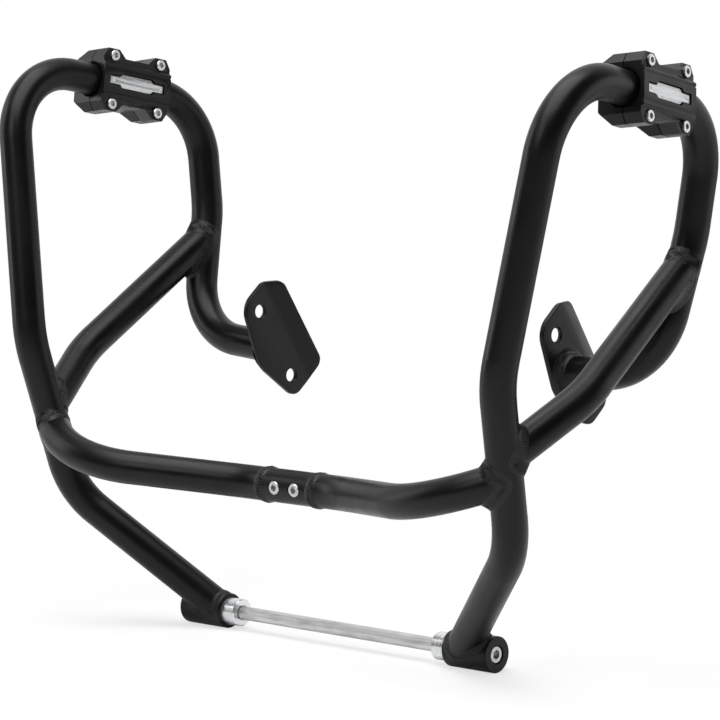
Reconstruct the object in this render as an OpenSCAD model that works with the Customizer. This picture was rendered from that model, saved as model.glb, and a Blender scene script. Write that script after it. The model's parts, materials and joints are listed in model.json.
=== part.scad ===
// Motorcycle crash bars: two welded tube loops joined under the engine by a bolted coupler in front
// and a mounting rod at the bottom, with a slider clamp on each top tube.
// Millimetres. The origin is the middle of the mounting rod, on the centre plane of the motorcycle.
// +X points to the machine's one side, +Y rearwards and +Z up. Each loop is the other's mirror image.

/* [Tubing] */
// Outside diameter of every frame tube
tube_d = 25.4; // [22:0.2:28]
// Wall of every frame tube
tube_wall = 2.5; // [1.5:0.1:4]
// Gap that the weld fills between a coped tube end and the piece it meets
cope_gap = 0.15; // [0.1:0.05:0.3]

/* [Loop route] */
// Distance of the leg's foot from the centre plane, on the boss axis
foot_x = 123; // [118:1:132]
// Lower bend: distance from the centre plane
lower_x = 224; // [205:1:245]
// Lower bend: distance in front of the rod
lower_front = 64; // [50:1:80]
// Lower bend: height above the rod
lower_z = 91; // [80:1:105]
// Middle bend of the front upright: distance from the centre plane
mid_x = 236; // [220:1:250]
// Middle bend of the front upright: distance in front of the rod
mid_front = 96; // [85:1:110]
// Middle bend of the front upright: height above the rod
mid_z = 210; // [200:1:230]
// Top front bend: distance from the centre plane
top_front_x = 274.5; // [255:0.5:295]
// Top front bend: distance in front of the rod
top_front = 79; // [65:1:95]
// Top front bend: height above the rod
top_front_z = 424; // [400:1:450]
// Top rear bend: distance from the centre plane
top_rear_x = 258; // [240:1:275]
// Top rear bend: distance behind the rod
top_rear = 111; // [95:1:130]
// Top rear bend: height above the rod
top_rear_z = 389; // [370:1:410]
// Slight bend of the rear upright: distance from the centre plane
rear_x = 246; // [235:1:260]
// Slight bend of the rear upright: distance behind the rod
rear_back = 108; // [98:1:120]
// Slight bend of the rear upright: height above the rod
rear_z = 302; // [292:1:320]
// Rear bottom bend: distance from the centre plane
turn_in_x = 234; // [222:1:250]
// Rear bottom bend: distance behind the rod
turn_in_back = 84; // [76:1:92]
// Rear bottom bend: height above the rod
turn_in_z = 204; // [198:1:210]
// Centre line radius of the tight bends
bend_r = 54; // [46:1:58]
// Centre line radius of the lower bend
lower_bend_r = 67; // [55:1:75]
// Centre line radius of the slight bends of both uprights
slight_bend_r = 90; // [70:1:100]

/* [Brace] */
// Distance from the lower bend up the front upright to the brace
brace_front_up = 68; // [67:1:74]
// Distance from the rear bottom bend up the rear upright to the brace
brace_rear_up = 80; // [76:1:84]
// Where the brace bends, as a share of its length from the front
brace_bend_share = 0.32; // [0.26:0.01:0.45]
// How far the brace's bend stands outside the line between its ends
brace_bulge = 19; // [8:1:24]
// Centre line radius of the brace's bend
brace_bend_r = 73; // [60:1:90]

/* [Cross tube and coupler] */
// Distance from the lower bend up the front upright to the cross tube
cross_up = 54; // [50:1:54]
// Cross tube's front bend: distance from the centre plane
corner_x = 183; // [172:1:192]
// Cross tube's front bend: distance in front of the coupler axis
corner_front = 65; // [52:1:72]
// Cross tube's front bend: height above the coupler axis
corner_up = 11; // [4:1:16]
// Centre line radius of the cross tube's front bend
corner_bend_r = 93; // [80:1:100]
// Coupler axis: distance in front of the rod
coupler_front = 47; // [40:1:55]
// Coupler axis: height above the rod
coupler_z = 112; // [104:1:120]
// Distance of the cross tube's inner bend from the centre plane
coupler_bend_x = 49; // [46:1:56]
// Centre line radius of the cross tube's inner bend
coupler_bend_r = 68; // [50:1:80]
// Distance of each coupler weld from the centre plane
coupler_half = 26; // [24:0.5:30]
// Place of the seam between socket and plug, from the centre plane
seam_x = 17; // [15:0.5:20]
// Diameter of the plug inside the socket
plug_d = 14; // [12:0.5:15]
// How far the plug reaches past the centre plane
plug_reach = 20; // [17:0.5:23]
// Depth of the register that centres each coupler piece in its tube
register_len = 6; // [4:0.5:8]
// Distance between the two coupler screws
coupler_pitch = 20; // [18:0.5:22]

/* [Mounting rod and bosses] */
// Outside diameter of the lower bosses
boss_d = 27; // [26:0.2:32]
// Distance between the inner faces of the bosses
boss_span = 229; // [226:1:230]
// Length of each boss
boss_len = 42; // [42:1:50]
// Outside diameter of the spacer collars
collar_d = 21; // [18:0.5:24]
// Length of the spacer collars
collar_len = 13.5; // [11:0.5:18]
// Diameter of the collar's spigot in the boss
spigot_d = 14; // [12:0.5:16]
// Length of the collar's spigot
spigot_len = 5; // [3:0.5:8]
// Diameter of the mounting rod
rod_d = 10.5; // [9.5:0.1:12]
// How far the rod's shoulder sits inside the collar
rod_seat = 2; // [1:0.5:3]
// Length of the rod's threaded ends
stub_len = 7; // [5:0.5:8]

/* [Bracket plates] */
// Distance from the centre plane to the middle of the plate's thickness
plate_x = 151; // [146:1:158]
// Thickness of the bracket plates
plate_t = 4; // [3:0.5:6]
// Middle of the two bolt holes: distance behind the rod
plate_back = 88; // [82:1:94]
// Middle of the two bolt holes: height above the rod
plate_z = 200; // [194:1:206]
// Lean of the hole line from the vertical, in degrees
plate_lean = 33.5; // [25:0.5:42]
// Distance between the two bolt holes
plate_pitch = 64; // [58:1:68]
// Diameter of the bolt holes
plate_hole_d = 10.5; // [8.5:0.1:12]
// Distance from the hole line to the fold
fold_at = 15.5; // [13:0.5:18]
// Width of the plate's flat part, up to the fold
flat_width = 40; // [36:0.5:44]
// Width of the folded flange
flange_width = 15.5; // [12:0.5:18]
// Distance from a bolt hole to the plate's end
plate_edge = 17.5; // [15:0.5:22]
// Fold of the plate's rear flange, in degrees
fold_angle = 20; // [8:1:30]
// Inside radius of the fold
fold_r = 8; // [4:0.5:12]

/* [Slider clamps] */
// Distance of the clamp's middle from the top front bend, along the tube
clamp_at = 114; // [106:1:120]
// Length of a clamp along the tube
clamp_len = 68; // [62:1:74]
// Height of a clamp over its lugs
clamp_h = 50; // [47:0.5:56]
// Height of a clamp between its lugs
waist_h = 37; // [35:0.5:40]
// Depth from the tube's axis to the front panel
clamp_front_z = 17.5; // [17:0.25:20]
// Depth from the tube's axis to the back face
clamp_back_z = 20; // [18.5:0.5:24]
// How far the panel stands in front of the lugs
panel_rise = 2.5; // [1.5:0.25:3]
// Height of the raised panel
panel_h = 25; // [22:0.5:27]
// Gap between the two halves of a clamp
split_gap = 0.8; // [0.4:0.1:1.5]
// Distance between the screws along the tube
clamp_pitch_x = 47; // [43:0.5:50]
// Distance between the screws across the tube
clamp_pitch_y = 39; // [38:0.5:41]
// Roll of both clamps about their tubes, in degrees
clamp_roll = 6; // [0:1:12]

/* [Badge plates] */
// Length of the badge plate
badge_len = 54; // [48:0.5:58]
// Height of the badge plate's ends
badge_end_h = 6.2; // [5:0.2:8]
// Length of the badge plate's middle
badge_mid_len = 29; // [24:0.5:34]
// Height of the badge plate's middle
badge_mid_h = 11; // [9:0.25:13]
// Thickness of the badge plate
badge_t = 1.4; // [1:0.1:1.8]
// Depth of the pocket that holds the badge plate
badge_pocket = 2.5; // [2:0.1:2.8]

/* [Screws] */
// Diameter of the boss screws
boss_screw_d = 8; // [6:1:8]
// Length of the boss screws under the head
boss_screw_len = 35; // [32:1:38]
// Diameter of the coupler screws
coupler_screw_d = 6; // [5:0.5:6]
// Length of the coupler screws under the head
coupler_screw_len = 14; // [12:1:15]
// Diameter of the clamp screws
clamp_screw_d = 5; // [4:0.5:5]
// Length of the clamp screws under the head
clamp_screw_len = 26; // [22:1:29]

/* [Weld beads] */
// Width of each leg of a weld bead
weld_leg = 4.2; // [3:0.2:5]
// Width of each leg of the weld between tube and lower boss
boss_weld_leg = 3; // [2.4:0.2:3]
// Width of each leg of the weld between tube and bracket plate
plate_weld_leg = 6; // [4:0.25:7]
// Height of a weld bead's crown over the line between its toes
weld_bulge = 1.3; // [0.8:0.1:2]
// Share by which every second ripple of a weld is lower
weld_ripple = 0.3; // [0:0.05:0.5]
// Pitch of the weld's ripples
weld_pitch = 4; // [3.5:0.5:8]

/* [Hidden] */
$fn = 64;
EPS = 0.01;
RUN_OVER = 2;

tube_r = tube_d / 2;
bore_r = tube_r - tube_wall;
boss_r = boss_d / 2;
boss_in = boss_span / 2;
boss_out = boss_in + boss_len;
slip = 0.1;
thread_slip = 0.05;
weld_lift = 0.08;
// Stretches of a bent piece lap by a little, and a bend is fuller by a hair, so no two skins coincide
bend_lap = 0.5;
bend_step = 0.05;
head_sink = 0.8;
clamp_head_sink = 3;

// Corners of the right loop's centre line, from the boss to the bracket plate
foot = [foot_x, 0, 0];
lower_corner = [lower_x, -lower_front, lower_z];
mid_corner = [mid_x, -mid_front, mid_z];
top_front_corner = [top_front_x, -top_front, top_front_z];
top_rear_corner = [top_rear_x, top_rear, top_rear_z];
rear_corner = [rear_x, rear_back, rear_z];
turn_in_corner = [turn_in_x, turn_in_back, turn_in_z];
plate_face_x = plate_x + plate_t / 2;
flat_middle = fold_at - flat_width / 2;
plate_end = [
    plate_face_x,
    plate_back + flat_middle * cos(plate_lean),
    plate_z + flat_middle * sin(plate_lean)
];
loop_corners = [
    foot, lower_corner, mid_corner, top_front_corner, top_rear_corner,
    rear_corner, turn_in_corner, plate_end
];
loop_radii = [lower_bend_r, slight_bend_r, bend_r, bend_r, slight_bend_r, bend_r];

// Corners of the right brace's centre line
front_up = unit(mid_corner - lower_corner);
rear_up = unit(rear_corner - turn_in_corner);
brace_foot = lower_corner + front_up * brace_front_up;
brace_head = turn_in_corner + rear_up * brace_rear_up;
brace_corner = brace_foot + (brace_head - brace_foot) * brace_bend_share + [brace_bulge, 0, 0];
brace_corners = [brace_foot, brace_corner, brace_head];

// Corners of the right cross tube's centre line
cross_foot = lower_corner + front_up * cross_up;
coupler_centre = [0, -coupler_front, coupler_z];
cross_corner = coupler_centre + [corner_x, -corner_front, corner_up];
coupler_corner = coupler_centre + [coupler_bend_x, 0, 0];
cross_end = coupler_centre + [coupler_half, 0, 0];
cross_corners = [cross_foot, cross_corner, coupler_corner, cross_end];
cross_radii = [corner_bend_r, coupler_bend_r];

// Bracket plate outline, from the hole line and from the middle between the holes
plate_outline = [
    [fold_at - 28.5, plate_pitch / 2 + plate_edge - 3],
    [fold_at, plate_pitch / 2 + plate_edge],
    [fold_at + flange_width, plate_pitch / 2 + plate_edge - 9.5],
    [fold_at + flange_width + 1, -plate_pitch / 2 - plate_edge + 8.5],
    [fold_at - 22.5, -plate_pitch / 2 - plate_edge],
    [fold_at - flat_width, -5]
];
plate_corner_radii = [12, 8, 7, 7, 9, 22];

// Clamp shapes, in the clamp's own frame: x along the tube, y up and z to the front
lug_top = clamp_h / 2;
waist_top = waist_h / 2;
lug_plane = clamp_front_z - panel_rise;
end_shoulder = waist_top - 0.5;
lug_out = clamp_len / 2 - 4.5;
lug_in = clamp_pitch_x / 2 - 5;
waist_in = lug_in - 7;
back_chamfer = 9;
bore_chamfer = 1.5;

// Vector helpers
function unit(v) = v / norm(v);
function turn_of(a, b, c) = acos(unit(b - a) * unit(c - b));
function tangent_of(a, b, c, r) = r * tan(turn_of(a, b, c) / 2);
function placed(o, x, y, z) = [
    [x[0], y[0], z[0], o[0]],
    [x[1], y[1], z[1], o[1]],
    [x[2], y[2], z[2], o[2]],
    [0, 0, 0, 1]
];
function across(v) = unit(cross(abs(v[2]) < 0.9 ? [0, 0, 1] : [1, 0, 0], v));

// A round bar between two points
module bar(a, b, r) {
    z = unit(b - a);
    x = across(z);
    multmatrix(placed(a, x, cross(z, x), z)) cylinder(h = norm(b - a), r = r);
}

// The bent stretch of a round bar at corner b, between corners a and c
module bend(a, b, c, bend_radius, r) {
    way_in = unit(b - a);
    way_out = unit(c - b);
    turn = turn_of(a, b, c);
    inward = unit(way_out - way_in);
    start = b - way_in * tangent_of(a, b, c, bend_radius);
    centre = b + inward * bend_radius / cos(turn / 2);
    x = unit(start - centre);
    multmatrix(placed(centre, x, way_in, cross(x, way_in)))
        rotate_extrude(angle = turn, $fn = 128)
            translate([bend_radius, 0]) circle(r = r);
}

// A round bar through a list of corners, bent at every inner one
module route(corners, radii, r) {
    last = len(corners) - 1;
    union() {
        for (i = [0:last - 1]) {
            a = corners[i];
            b = corners[i + 1];
            way = unit(b - a);
            cut_in = i == 0 ? 0 : tangent_of(corners[i - 1], a, b, radii[i - 1]);
            cut_out = i == last - 1 ? 0 : tangent_of(a, b, corners[i + 2], radii[i]);
            lap_in = i == 0 ? 0 : bend_lap;
            lap_out = i == last - 1 ? 0 : bend_lap;
            bar(a + way * (cut_in - lap_in), b - way * (cut_out - lap_out), r);
        }
        for (i = [1:last - 1])
            bend(corners[i - 1], corners[i], corners[i + 1], radii[i - 1], r + bend_step);
    }
}

// The same corners with both ends moved outwards
function stretched(corners, more) = let (last = len(corners) - 1) [
    for (i = [0:last])
        i == 0 ? corners[0] + unit(corners[0] - corners[1]) * more :
        i == last ? corners[last] + unit(corners[last] - corners[last - 1]) * more :
        corners[i]
];

module pipe(corners, radii) {
    difference() {
        route(corners, radii, tube_r);
        route(stretched(corners, 1), radii, bore_r);
    }
}

// Solid bars that the coped tube ends are cut back from
module front_upright_cutter() {
    bar(lower_corner, mid_corner, tube_r + cope_gap);
}

module rear_upright_cutter() {
    bar(turn_in_corner, rear_corner + rear_up * RUN_OVER, tube_r + cope_gap);
}

module boss_cutter() {
    translate([boss_in - tube_d, 0, 0]) rotate([0, 90, 0])
        cylinder(h = boss_len + 2 * tube_d, r = boss_r + cope_gap);
}

module plate_cutter() {
    translate([plate_face_x + cope_gap - tube_d, plate_end[1] - tube_d, plate_end[2] - tube_d])
        cube([tube_d, 2 * tube_d, 2 * tube_d]);
}

// Tubes of one side
module loop_tube() {
    difference() {
        pipe(stretched_end(loop_corners, RUN_OVER), loop_radii);
        boss_cutter();
        plate_cutter();
    }
}

function stretched_end(corners, more) = let (last = len(corners) - 1) [
    for (i = [0:last])
        i == last ? corners[last] + unit(corners[last] - corners[last - 1]) * more : corners[i]
];

module brace_tube() {
    difference() {
        pipe(brace_corners, [brace_bend_r]);
        front_upright_cutter();
        rear_upright_cutter();
    }
}

module cross_tube() {
    difference() {
        pipe(cross_corners, cross_radii);
        front_upright_cutter();
        bar(brace_foot, brace_corner, tube_r + cope_gap);
    }
}

// Turned bush at the foot of a loop, counterbored outside for the screw head and inside for the collar
module lower_boss() {
    edge = 0.6;
    head = head_of(boss_screw_d);
    translate([boss_in, 0, 0]) rotate([0, 90, 0]) difference() {
        union() {
            cylinder(h = edge, r1 = boss_r - edge, r2 = boss_r);
            translate([0, 0, edge]) cylinder(h = boss_len - 2 * edge, r = boss_r);
            translate([0, 0, boss_len - edge]) cylinder(h = edge, r1 = boss_r, r2 = boss_r - edge);
        }
        translate([0, 0, -1]) cylinder(h = boss_len + 2, d = boss_screw_d + 0.6);
        translate([0, 0, -1]) cylinder(h = spigot_len + slip + 1, d = spigot_d + 2 * slip);
        translate([0, 0, boss_len - head[1] - head_sink])
            cylinder(h = head[1] + head_sink + 1, d = head[0] + 1);
    }
}

// Head of a socket screw: diameter, height, and width and depth of its hexagon socket
function head_of(d) = [1.5 * d + 1, d, 0.8 * d + 0.1, 0.55 * d];

// Socket screw along +Z, with the underside of its head at the origin
module socket_screw(d, length, head_h) {
    head = head_of(d);
    tip = d * 0.12;
    edge = 0.08 * d;
    difference() {
        union() {
            cylinder(h = head_h - edge, d = head[0]);
            translate([0, 0, head_h - edge])
                cylinder(h = edge, d1 = head[0], d2 = head[0] - 2 * edge);
            translate([0, 0, tip - length]) cylinder(h = length - tip + EPS, d = d);
            translate([0, 0, -length]) cylinder(h = tip, d1 = d - 2 * tip, d2 = d);
        }
        translate([0, 0, head_h - head[3]])
            cylinder(h = head[3] + 1, d = head[2] / cos(30), $fn = 6);
    }
}

// Slab with round corners: an outline of chamfer points, and a disc in each corner
module rounded_slab(points, radii, height) {
    count = len(points);
    ways_back = [for (i = [0:count - 1]) unit(points[(i + count - 1) % count] - points[i])];
    ways_on = [for (i = [0:count - 1]) unit(points[(i + 1) % count] - points[i])];
    halves = [for (i = [0:count - 1]) acos(ways_back[i] * ways_on[i]) / 2];
    union() {
        linear_extrude(height = height) polygon([
            for (i = [0:count - 1]) each [
                points[i] + ways_back[i] * radii[i] / tan(halves[i]),
                points[i] + ways_on[i] * radii[i] / tan(halves[i])
            ]
        ]);
        for (i = [0:count - 1])
            translate(points[i] + unit(ways_back[i] + ways_on[i]) * radii[i] / sin(halves[i]))
                cylinder(h = height, r = radii[i] + bend_step);
    }
}

// Section across the fold: the flat part, the bend and the flange
module folded_section() {
    reach = flat_width + 2 * flange_width;
    outer = fold_r + plate_t;
    translate([fold_at - reach, -plate_t / 2]) square([reach + bend_lap, plate_t]);
    translate([fold_at, -plate_t / 2 - fold_r]) {
        intersection() {
            difference() {
                circle(r = outer + bend_step);
                circle(r = fold_r - bend_step);
            }
            polygon([[0, 0], [0, 2 * outer], [2 * outer * tan(fold_angle), 2 * outer]]);
        }
        rotate(-fold_angle) translate([-bend_lap, fold_r])
            square([2 * flange_width + bend_lap, plate_t]);
    }
}

// Folded steel plate that bolts the rear of a loop to the frame
module bracket_plate() {
    lean = plate_lean;
    hole_edge = 1;
    hole_r = plate_hole_d / 2;
    multmatrix(placed(
        [plate_x, plate_back, plate_z],
        [0, cos(lean), sin(lean)], [0, -sin(lean), cos(lean)], [1, 0, 0]
    )) difference() {
        intersection() {
            translate([0, 0, -flange_width])
                rounded_slab(plate_outline, plate_corner_radii, 2 * flange_width);
            translate([0, plate_pitch, 0]) rotate([90, 0, 0])
                linear_extrude(height = 2 * plate_pitch) folded_section();
        }
        for (side = [-1, 1]) translate([0, side * plate_pitch / 2, 0]) {
            cylinder(h = 2 * plate_t, r = hole_r, center = true);
            for (face = [0, 1]) mirror([0, 0, face]) translate([0, 0, plate_t / 2 - hole_edge])
                cylinder(h = hole_edge + EPS, r1 = hole_r, r2 = hole_r + hole_edge + EPS);
        }
    }
}

// Coupler: a socket on the left tube takes the plug of the right tube, and two screws hold it
socket_floor = -plug_reach - 1;
coupler_head_h = 4;
coupler_seat = tube_r - coupler_head_h;

module at_coupler_screws() {
    for (side = [-1, 1])
        translate(coupler_centre + [side * coupler_pitch / 2, -coupler_seat, 0])
            rotate([90, 0, 0]) children();
}

module along_coupler(x) {
    translate(coupler_centre + [x, 0, 0]) rotate([0, 90, 0]) children();
}

module coupler_socket() {
    difference() {
        union() {
            along_coupler(-coupler_half) cylinder(h = coupler_half + seam_x, r = tube_r);
            along_coupler(-coupler_half - register_len)
                cylinder(h = register_len + EPS, r = bore_r - slip);
        }
        along_coupler(socket_floor) cylinder(h = coupler_half + tube_d, r = plug_d / 2 + slip);
        at_coupler_screws() {
            cylinder(h = tube_r, d = head_of(coupler_screw_d)[0] + 1);
            translate([0, 0, -coupler_seat]) cylinder(h = tube_r, d = coupler_screw_d + 0.6);
        }
    }
}

module coupler_plug() {
    difference() {
        union() {
            along_coupler(seam_x + slip) cylinder(h = coupler_half - seam_x - slip, r = tube_r);
            along_coupler(-plug_reach) cylinder(h = plug_reach + seam_x + 1, r = plug_d / 2);
            along_coupler(coupler_half - EPS)
                cylinder(h = register_len + EPS, r = bore_r - slip);
        }
        at_coupler_screws()
            translate([0, 0, -tube_d]) cylinder(h = 2 * tube_d, d = coupler_screw_d + 2 * thread_slip);
    }
}

module coupler_screws() {
    at_coupler_screws() socket_screw(coupler_screw_d, coupler_screw_len, coupler_head_h);
}

// Weld beads. A branch tube is [foot, way, straight length, bend radius, way it bends].
// The main piece is [point, axis, radius], or [point, normal, 0] for a flat face.
function branch_turn(b, s) = s <= b[2] ? 0 : (s - b[2]) / b[3] * 180 / PI;
function branch_centre(b, s) = let (t = branch_turn(b, s))
    b[0] + b[1] * (min(s, b[2]) + b[3] * sin(t)) + b[4] * b[3] * (1 - cos(t));
function branch_normal(b, s, phi) = let (t = branch_turn(b, s))
    cos(phi) * (b[4] * cos(t) - b[1] * sin(t)) + sin(phi) * cross(b[1], b[4]);
function branch_way(b, s) = let (t = branch_turn(b, s)) b[1] * cos(t) + b[4] * sin(t);
function off_axis(m, p) = let (v = p - m[0]) v - (v * m[1]) * m[1];
function main_gap(m, p) =
    m[2] == 0 ? (p - m[0]) * m[1] - weld_lift : norm(off_axis(m, p)) - m[2] - weld_lift;
function main_normal(m, p) = m[2] == 0 ? m[1] : unit(off_axis(m, p));
function branch_point(b, s, phi) =
    branch_centre(b, s) + (tube_r + weld_lift) * branch_normal(b, s, phi);

// Distance along the branch at which its surface meets the main piece, by halving
function meeting(b, m, phi, low, high, steps) = steps == 0 ? (low + high) / 2 :
    let (middle = (low + high) / 2)
    main_gap(m, branch_point(b, middle, phi)) > 0 ?
        meeting(b, m, phi, low, middle, steps - 1) : meeting(b, m, phi, middle, high, steps - 1);
function meeting_at(b, m, phi) = meeting(b, m, phi, m[2] == 0 ? -6 : 0, 2 * tube_d, 18);
function root_at(b, m, phi) = branch_point(b, meeting_at(b, m, phi), phi);

// The nearest points on the two surfaces to a point beside the root
function on_main(m, p) = p - main_normal(m, p) * main_gap(m, p);
function on_branch(b, s, p) = let (
        c = branch_centre(b, s), way = branch_way(b, s), v = p - c, flat = v - (v * way) * way
    ) p - flat + unit(flat) * (tube_r + weld_lift);

// One section of a bead: root, main side, crown, branch side
function bead_section(b, m, phi, leg, bulge) = let (
        s = meeting_at(b, m, phi),
        root = branch_point(b, s, phi),
        along = unit(root_at(b, m, phi + 1) - root_at(b, m, phi - 1)),
        n_main = main_normal(m, root),
        n_branch = branch_normal(b, s, phi),
        to_main = cross(along, n_main),
        to_branch = cross(n_branch, along),
        out = unit(n_main + n_branch),
        toe_main = on_main(m, root + to_main * leg),
        toe_branch = on_branch(b, s + leg / 2, root + to_branch * leg),
        chord = toe_branch - toe_main
    ) [
        root,
        on_main(m, root + to_main * leg / 2),
        toe_main,
        toe_main + chord * 0.25 + out * bulge * 0.75,
        toe_main + chord * 0.5 + out * bulge,
        toe_main + chord * 0.75 + out * bulge * 0.75,
        toe_branch,
        on_branch(b, s + leg / 4, root + to_branch * leg / 2)
    ];

// Closed ring of sections, every second one lower, joined by triangles
module ring_of(sections) {
    rings = len(sections);
    sides = len(sections[0]);
    polyhedron(
        points = [for (section = sections) each section],
        faces = [
            for (i = [0:rings - 1], j = [0:sides - 1]) let (
                a = i * sides + j,
                b = i * sides + (j + 1) % sides,
                c = ((i + 1) % rings) * sides + (j + 1) % sides,
                d = ((i + 1) % rings) * sides + j
            ) each [[a, b, c], [a, c, d]]
        ]
    );
}

function ripple(i) = i % 2 == 0 ? 1 : 1 - weld_ripple;
function ripple_count(radius) = 4 * round(PI * radius / weld_pitch / 2 * 1.25);

// Distance from a point to the wall of another tube that starts at the same main piece
function room_beside(b, p) = let (v = p - b[0], along = v * b[1], aside = norm(v - along * b[1]) - tube_r)
    along > 0 ? aside : norm([aside, along]);

// Share of its width that a bead keeps where another bead runs beside it
function narrowing(beside, p, leg) =
    beside == undef ? 1 : min(1, (room_beside(beside, p) / 2 - 2 * slip) / leg);

module joint_weld(branch, main, leg, beside = undef) {
    rings = 2 * ripple_count(tube_r);
    ring_of([
        for (i = [0:rings - 1]) let (
            phi = i * 360 / rings,
            share = narrowing(beside, root_at(branch, main, phi), leg)
        ) bead_section(
            branch, main, phi, leg * share * (0.9 + 0.1 * ripple(i)), weld_bulge * share * ripple(i)
        )
    ]);
}

function branch_of(a, b, c, r) = [
    a, unit(b - a), norm(b - a) - tangent_of(a, b, c, r), r,
    unit((c - b) - ((c - b) * unit(b - a)) * unit(b - a))
];

brace_front_branch = branch_of(brace_foot, brace_corner, brace_head, brace_bend_r);
brace_rear_branch = branch_of(brace_head, brace_corner, brace_foot, brace_bend_r);
cross_branch = branch_of(cross_foot, cross_corner, coupler_corner, corner_bend_r);
leg_branch = branch_of(foot, lower_corner, mid_corner, lower_bend_r);
plate_branch = branch_of(plate_end, turn_in_corner, rear_corner, bend_r);
front_upright_main = [lower_corner, front_up, tube_r];
rear_upright_main = [turn_in_corner, rear_up, tube_r];
boss_main = [foot, [1, 0, 0], boss_r];
plate_main = [plate_end, [1, 0, 0], 0];

module brace_front_weld() {
    joint_weld(brace_front_branch, front_upright_main, weld_leg, cross_branch);
}

module brace_rear_weld() {
    joint_weld(brace_rear_branch, rear_upright_main, weld_leg);
}

module cross_weld() {
    joint_weld(cross_branch, front_upright_main, weld_leg, brace_front_branch);
}

module boss_weld() {
    joint_weld(leg_branch, boss_main, boss_weld_leg);
}

module plate_weld() {
    joint_weld(plate_branch, plate_main, plate_weld_leg);
}

// Bead round the butt joint between a cross tube and its coupler piece
module coupler_weld(x) {
    rings = 2 * ripple_count(tube_r);
    base = tube_r + weld_lift;
    leg = weld_leg * 0.9;
    along_coupler(x) ring_of([
        for (i = [0:rings - 1]) let (
            phi = i * 360 / rings,
            h = weld_bulge * ripple(i),
            out = [cos(phi), sin(phi), 0]
        ) [
            out * base + [0, 0, leg],
            out * (base + 0.75 * h) + [0, 0, leg / 2],
            out * (base + h),
            out * (base + 0.75 * h) - [0, 0, leg / 2],
            out * base - [0, 0, leg],
            out * base
        ]
    ]);
}

// Mounting rod with a turned threaded stub at each end
module mounting_rod() {
    half = boss_in - collar_len + rod_seat - slip;
    edge = 0.8;
    color("silver") rotate([0, 90, 0]) {
        translate([0, 0, -half + edge]) cylinder(h = 2 * half - 2 * edge, d = rod_d);
        for (end = [0, 1]) mirror([0, 0, end]) {
            translate([0, 0, half - edge]) cylinder(h = edge, d1 = rod_d, d2 = rod_d - 2 * edge);
            translate([0, 0, half - EPS]) cylinder(h = stub_len + EPS, d = boss_screw_d);
        }
    }
}

// Turned spacer between boss and frame, tapped from both ends
module collar() {
    edge = 0.8;
    translate([boss_in - collar_len, 0, 0]) rotate([0, 90, 0]) difference() {
        union() {
            cylinder(h = edge, d1 = collar_d - 2 * edge, d2 = collar_d);
            translate([0, 0, edge]) cylinder(h = collar_len - edge, d = collar_d);
            translate([0, 0, collar_len - EPS]) cylinder(h = spigot_len + EPS, d = spigot_d);
        }
        translate([0, 0, -1])
            cylinder(h = collar_len + spigot_len + 2, d = boss_screw_d + 2 * thread_slip);
        translate([0, 0, -1]) cylinder(h = rod_seat + 1, d = rod_d + 1.5);
    }
}

module boss_screw() {
    head = head_of(boss_screw_d);
    translate([boss_out - head[1] - head_sink, 0, 0]) rotate([0, 90, 0])
        socket_screw(boss_screw_d, boss_screw_len, head[1]);
}

// Slider clamps. Both face the same side, so they are placed by their own tube and not mirrored.
module at_clamp(side) {
    start = [side * top_front_corner[0], top_front_corner[1], top_front_corner[2]];
    end = [side * top_rear_corner[0], top_rear_corner[1], top_rear_corner[2]];
    way = unit(end - start);
    front = unit(cross(way, [0, 0, 1]));
    multmatrix(placed(start + way * clamp_at, way, cross(front, way), front))
        rotate([-clamp_roll, 0, 0]) children();
}

module at_clamp_screws() {
    for (x = [-1, 1], y = [-1, 1])
        translate([x * clamp_pitch_x / 2, y * clamp_pitch_y / 2, 0]) children();
}

// Front view of the clamp: four lugs with a waist between each two
module clamp_outline() {
    upper = [
        [clamp_len / 2, end_shoulder], [lug_out, lug_top], [lug_in, lug_top], [waist_in, waist_top],
        [-waist_in, waist_top], [-lug_in, lug_top], [-lug_out, lug_top], [-clamp_len / 2, end_shoulder]
    ];
    lower = [for (i = [len(upper) - 1:-1:0]) [upper[i][0], -upper[i][1]]];
    polygon(concat(upper, lower));
}

// End view of the clamp, as depth and height: chamfers behind and a raised panel in front
module clamp_section() {
    half_panel = panel_h / 2;
    foot_panel = half_panel + panel_rise * 0.8;
    polygon([
        [-clamp_back_z, -lug_top + back_chamfer], [-clamp_back_z + back_chamfer, -lug_top],
        [lug_plane, -lug_top], [lug_plane, -foot_panel],
        [clamp_front_z, -half_panel], [clamp_front_z, half_panel],
        [lug_plane, foot_panel], [lug_plane, lug_top],
        [-clamp_back_z + back_chamfer, lug_top], [-clamp_back_z, lug_top - back_chamfer]
    ]);
}

module clamp_block(low, high) {
    grip_r = tube_r + slip;
    difference() {
        intersection() {
            translate([0, 0, low]) linear_extrude(height = high - low) clamp_outline();
            translate([-clamp_len, 0, 0]) rotate([0, 90, 0]) rotate(180) mirror([0, 1, 0])
                linear_extrude(height = 2 * clamp_len) clamp_section();
        }
        translate([-clamp_len, 0, 0]) rotate([0, 90, 0])
            cylinder(h = 2 * clamp_len, r = grip_r, $fn = 96);
        for (end = [0, 1]) mirror([end, 0, 0])
            translate([clamp_len / 2 - bore_chamfer, 0, 0]) rotate([0, 90, 0])
                cylinder(h = bore_chamfer + 1, r1 = grip_r, r2 = grip_r + bore_chamfer + 1, $fn = 96);
    }
}

module clamp_front() {
    head = head_of(clamp_screw_d);
    difference() {
        clamp_block(split_gap / 2, clamp_front_z + 1);
        at_clamp_screws() {
            cylinder(h = clamp_front_z, d = clamp_screw_d + 0.5);
            translate([0, 0, lug_plane - clamp_head_sink])
                cylinder(h = clamp_head_sink + panel_rise + 1, d = head[0] + 1);
        }
        translate([0, 0, clamp_front_z - badge_pocket])
            linear_extrude(height = badge_pocket + 1) badge_outline(0.8);
    }
}

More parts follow.
